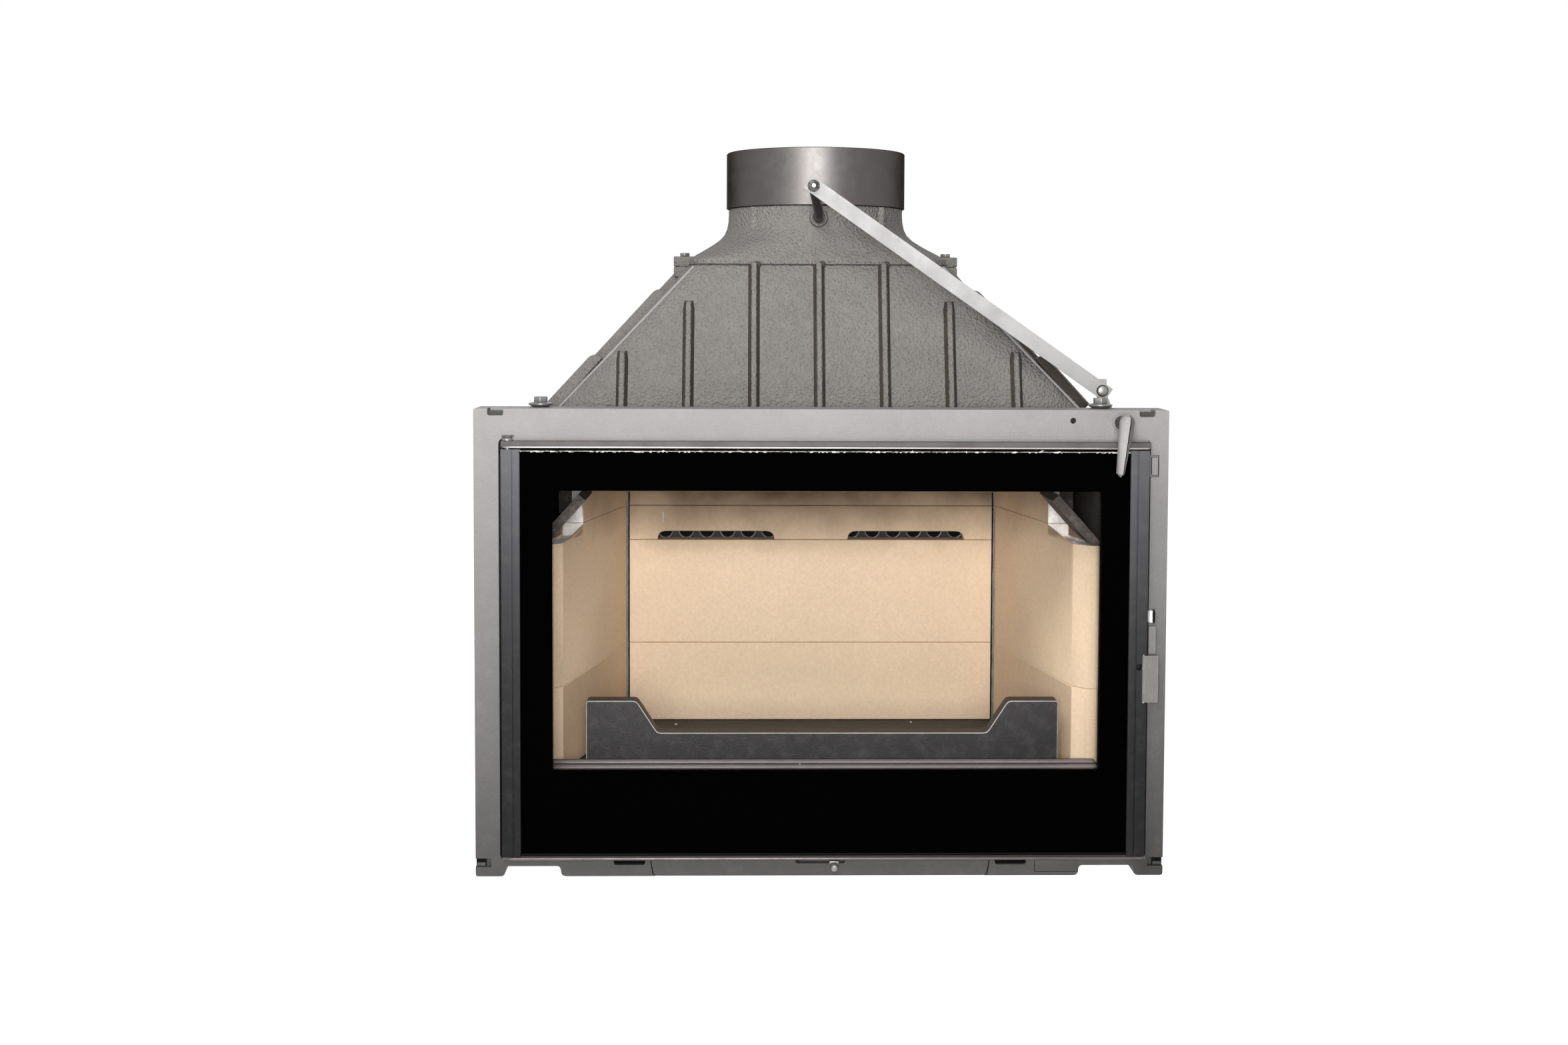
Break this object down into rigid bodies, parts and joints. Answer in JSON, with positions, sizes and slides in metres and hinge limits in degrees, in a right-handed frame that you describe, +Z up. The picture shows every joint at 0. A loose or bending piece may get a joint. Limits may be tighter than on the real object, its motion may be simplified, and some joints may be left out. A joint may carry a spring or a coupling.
{
  "type": "fireplace insert",
  "caption": "Cast-iron fireplace insert with a side-hinged glass door, a brick-lined firebox, a ribbed smoke hood, a round flue collar and a lever-worked damper.",
  "frame": {"origin": "bottom centre of the bounding box, at the level of the feet", "axes": "+Z up to the flue; +X to the right when facing the door; -Y out of the glass door, towards the room"},
  "size_m": [0.7, 0.4822, 0.75],
  "materials": {
    "frame_iron": "light grey paint on cast iron",
    "body_iron": "grey cast iron",
    "hood_iron": "grey cast iron, orange-peel texture",
    "collar_steel": "dark grey satin",
    "door_steel": "dark grey satin",
    "rail_steel": "worn steel",
    "zinc": "pale zinc plate",
    "lever_iron": "light grey",
    "chrome": "polished",
    "graphite_iron": "graphite black",
    "fireclay": "matte refractory",
    "sealing_rope": "woven glass fibre",
    "ceramic_glass": "clear pane with a black enamel border"
  },
  "bodies": {
    "insert_body": {"front_frame": "frame_iron", "lower_center_panel": "frame_iron", "base_casting": "body_iron", "left_side_casting": "body_iron", "right_side_casting": "body_iron", "back_casting": "body_iron", "top_casting": "body_iron", "lower_hood": "hood_iron", "upper_hood": "hood_iron", "flue_collar": "collar_steel", "left_lug_bolt": "zinc", "right_lug_bolt": "zinc", "left_corner_bolt": "zinc", "right_corner_bolt": "zinc", "hearth_plate": "graphite_iron", "fire_grate": "graphite_iron", "ash_pan": "door_steel", "sill_plate": "graphite_iron", "log_fender": "graphite_iron", "rear_air_manifold": "door_steel", "back_brick_lower": "fireclay", "back_brick_middle": "fireclay", "back_brick_slotted": "fireclay", "back_brick_top": "fireclay", "left_brick_lower": "fireclay", "left_brick_notched": "fireclay", "left_brick_top": "fireclay", "left_smoke_deflector": "graphite_iron", "right_brick_lower": "fireclay", "right_brick_notched": "fireclay", "right_brick_top": "fireclay", "right_smoke_deflector": "graphite_iron", "baffle_plate": "fireclay", "top_hinge_rail": "rail_steel", "bottom_hinge_rail": "rail_steel", "top_hinge_pin": "door_steel", "bottom_hinge_pin": "door_steel", "latch_keeper": "lever_iron", "strike_pin": "chrome", "door_stop_pad": "frame_iron"},
    "door": {"door_left_stile": "door_steel", "door_right_stile": "door_steel", "door_top_bar": "door_steel", "door_bottom_bar": "door_steel", "door_glass": "ceramic_glass", "glass_tape": "sealing_rope", "door_seal_rope": "sealing_rope", "latch_pin": "chrome"},
    "latch": {"latch_lever": "lever_iron"},
    "damper_control": {"control_handle": "lever_iron", "handle_shaft": "zinc", "crank_plate": "zinc", "link_pivot_bolt": "zinc"},
    "link": {"link_bar": "zinc"},
    "damper": {"damper_shaft": "door_steel", "damper_disc": "hood_iron", "link_nut": "zinc"},
    "air_control": {"air_control_slide": "door_steel"}
  },
  "joints": [
    {"name": "door_hinge", "type": "hinge", "parent": "insert_body", "child": "door", "pos_m": [-0.3155, -0.2055, 0.23], "axis": [0, 0, -1], "range_deg": [0, 110]},
    {"name": "latch_pivot", "type": "hinge", "parent": "door", "child": "latch", "pos_m": [0.3265, -0.2085, 0.204], "axis": [0, 0, -1], "range_deg": [0, 40]},
    {"name": "damper_handle", "type": "hinge", "parent": "insert_body", "child": "damper_control", "pos_m": [0.3009, -0.1635, 0.4636], "axis": [0, 1, 0], "range_deg": [0, 90]},
    {"name": "link_pivot", "type": "hinge", "parent": "damper_control", "child": "link", "pos_m": [0.2929, -0.1485, 0.4929], "axis": [0, 1, 0], "range_deg": [-90, 0]},
    {"name": "damper_spin", "type": "hinge", "parent": "insert_body", "child": "damper", "pos_m": [0, 0.0215, 0.674], "axis": [0, 1, 0], "range_deg": [0, 90]},
    {"name": "air_slide", "type": "slide", "parent": "insert_body", "child": "air_control", "axis": [1, 0, 0], "range_m": [-0.033, 0.005]}
  ],
  "couplings": [
    {"joint": "link_pivot", "follows": "damper_handle", "ratio": -1},
    {"joint": "damper_spin", "follows": "damper_handle", "ratio": 1}
  ]
}
